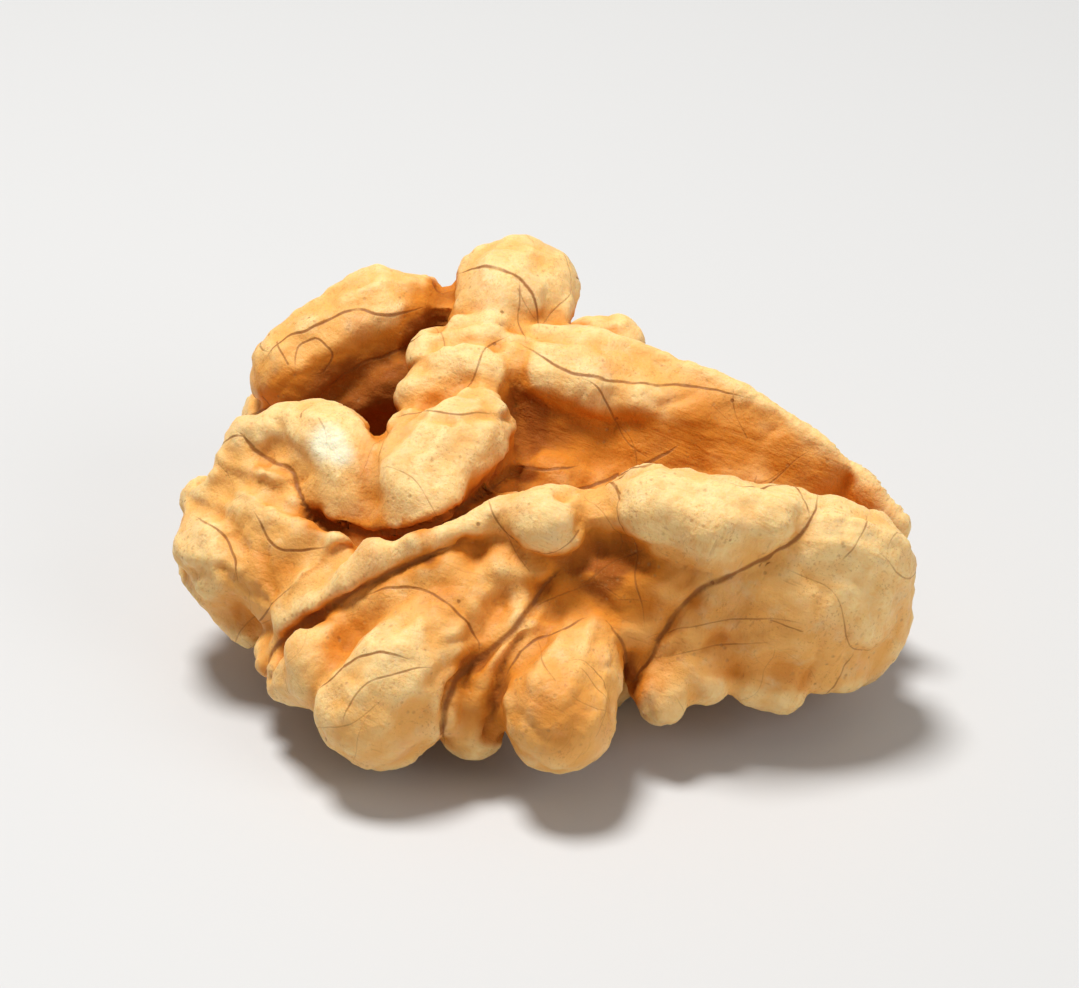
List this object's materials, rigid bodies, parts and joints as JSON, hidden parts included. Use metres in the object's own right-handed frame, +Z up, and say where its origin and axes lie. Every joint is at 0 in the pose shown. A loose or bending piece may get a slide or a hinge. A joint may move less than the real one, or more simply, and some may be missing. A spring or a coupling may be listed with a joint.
{
  "type": "walnut kernel half",
  "caption": "Shelled half of a walnut kernel: folded, veined, pale brown flesh with a hollow septum side and a thin curved wing, lying on its rounded side.",
  "frame": {"origin": "middle of the bottom of the kernel's bounding box, on the surface that it rests on", "axes": "+X along the kernel, its longest way, towards the tip of the wing; +Y towards the knob at the end of the spine; +Z up, its shortest way, out of the septum side"},
  "size_m": [0.0346, 0.0302, 0.0166],
  "materials": {
    "kernel_flesh": "thin papery skin with a waxy soft sheen, cream on the raised lobes, orange-brown in the hollows, fine dark brown veins"
  },
  "bodies": {
    "root": {"kernel_half": "kernel_flesh"}
  },
  "joints": []
}
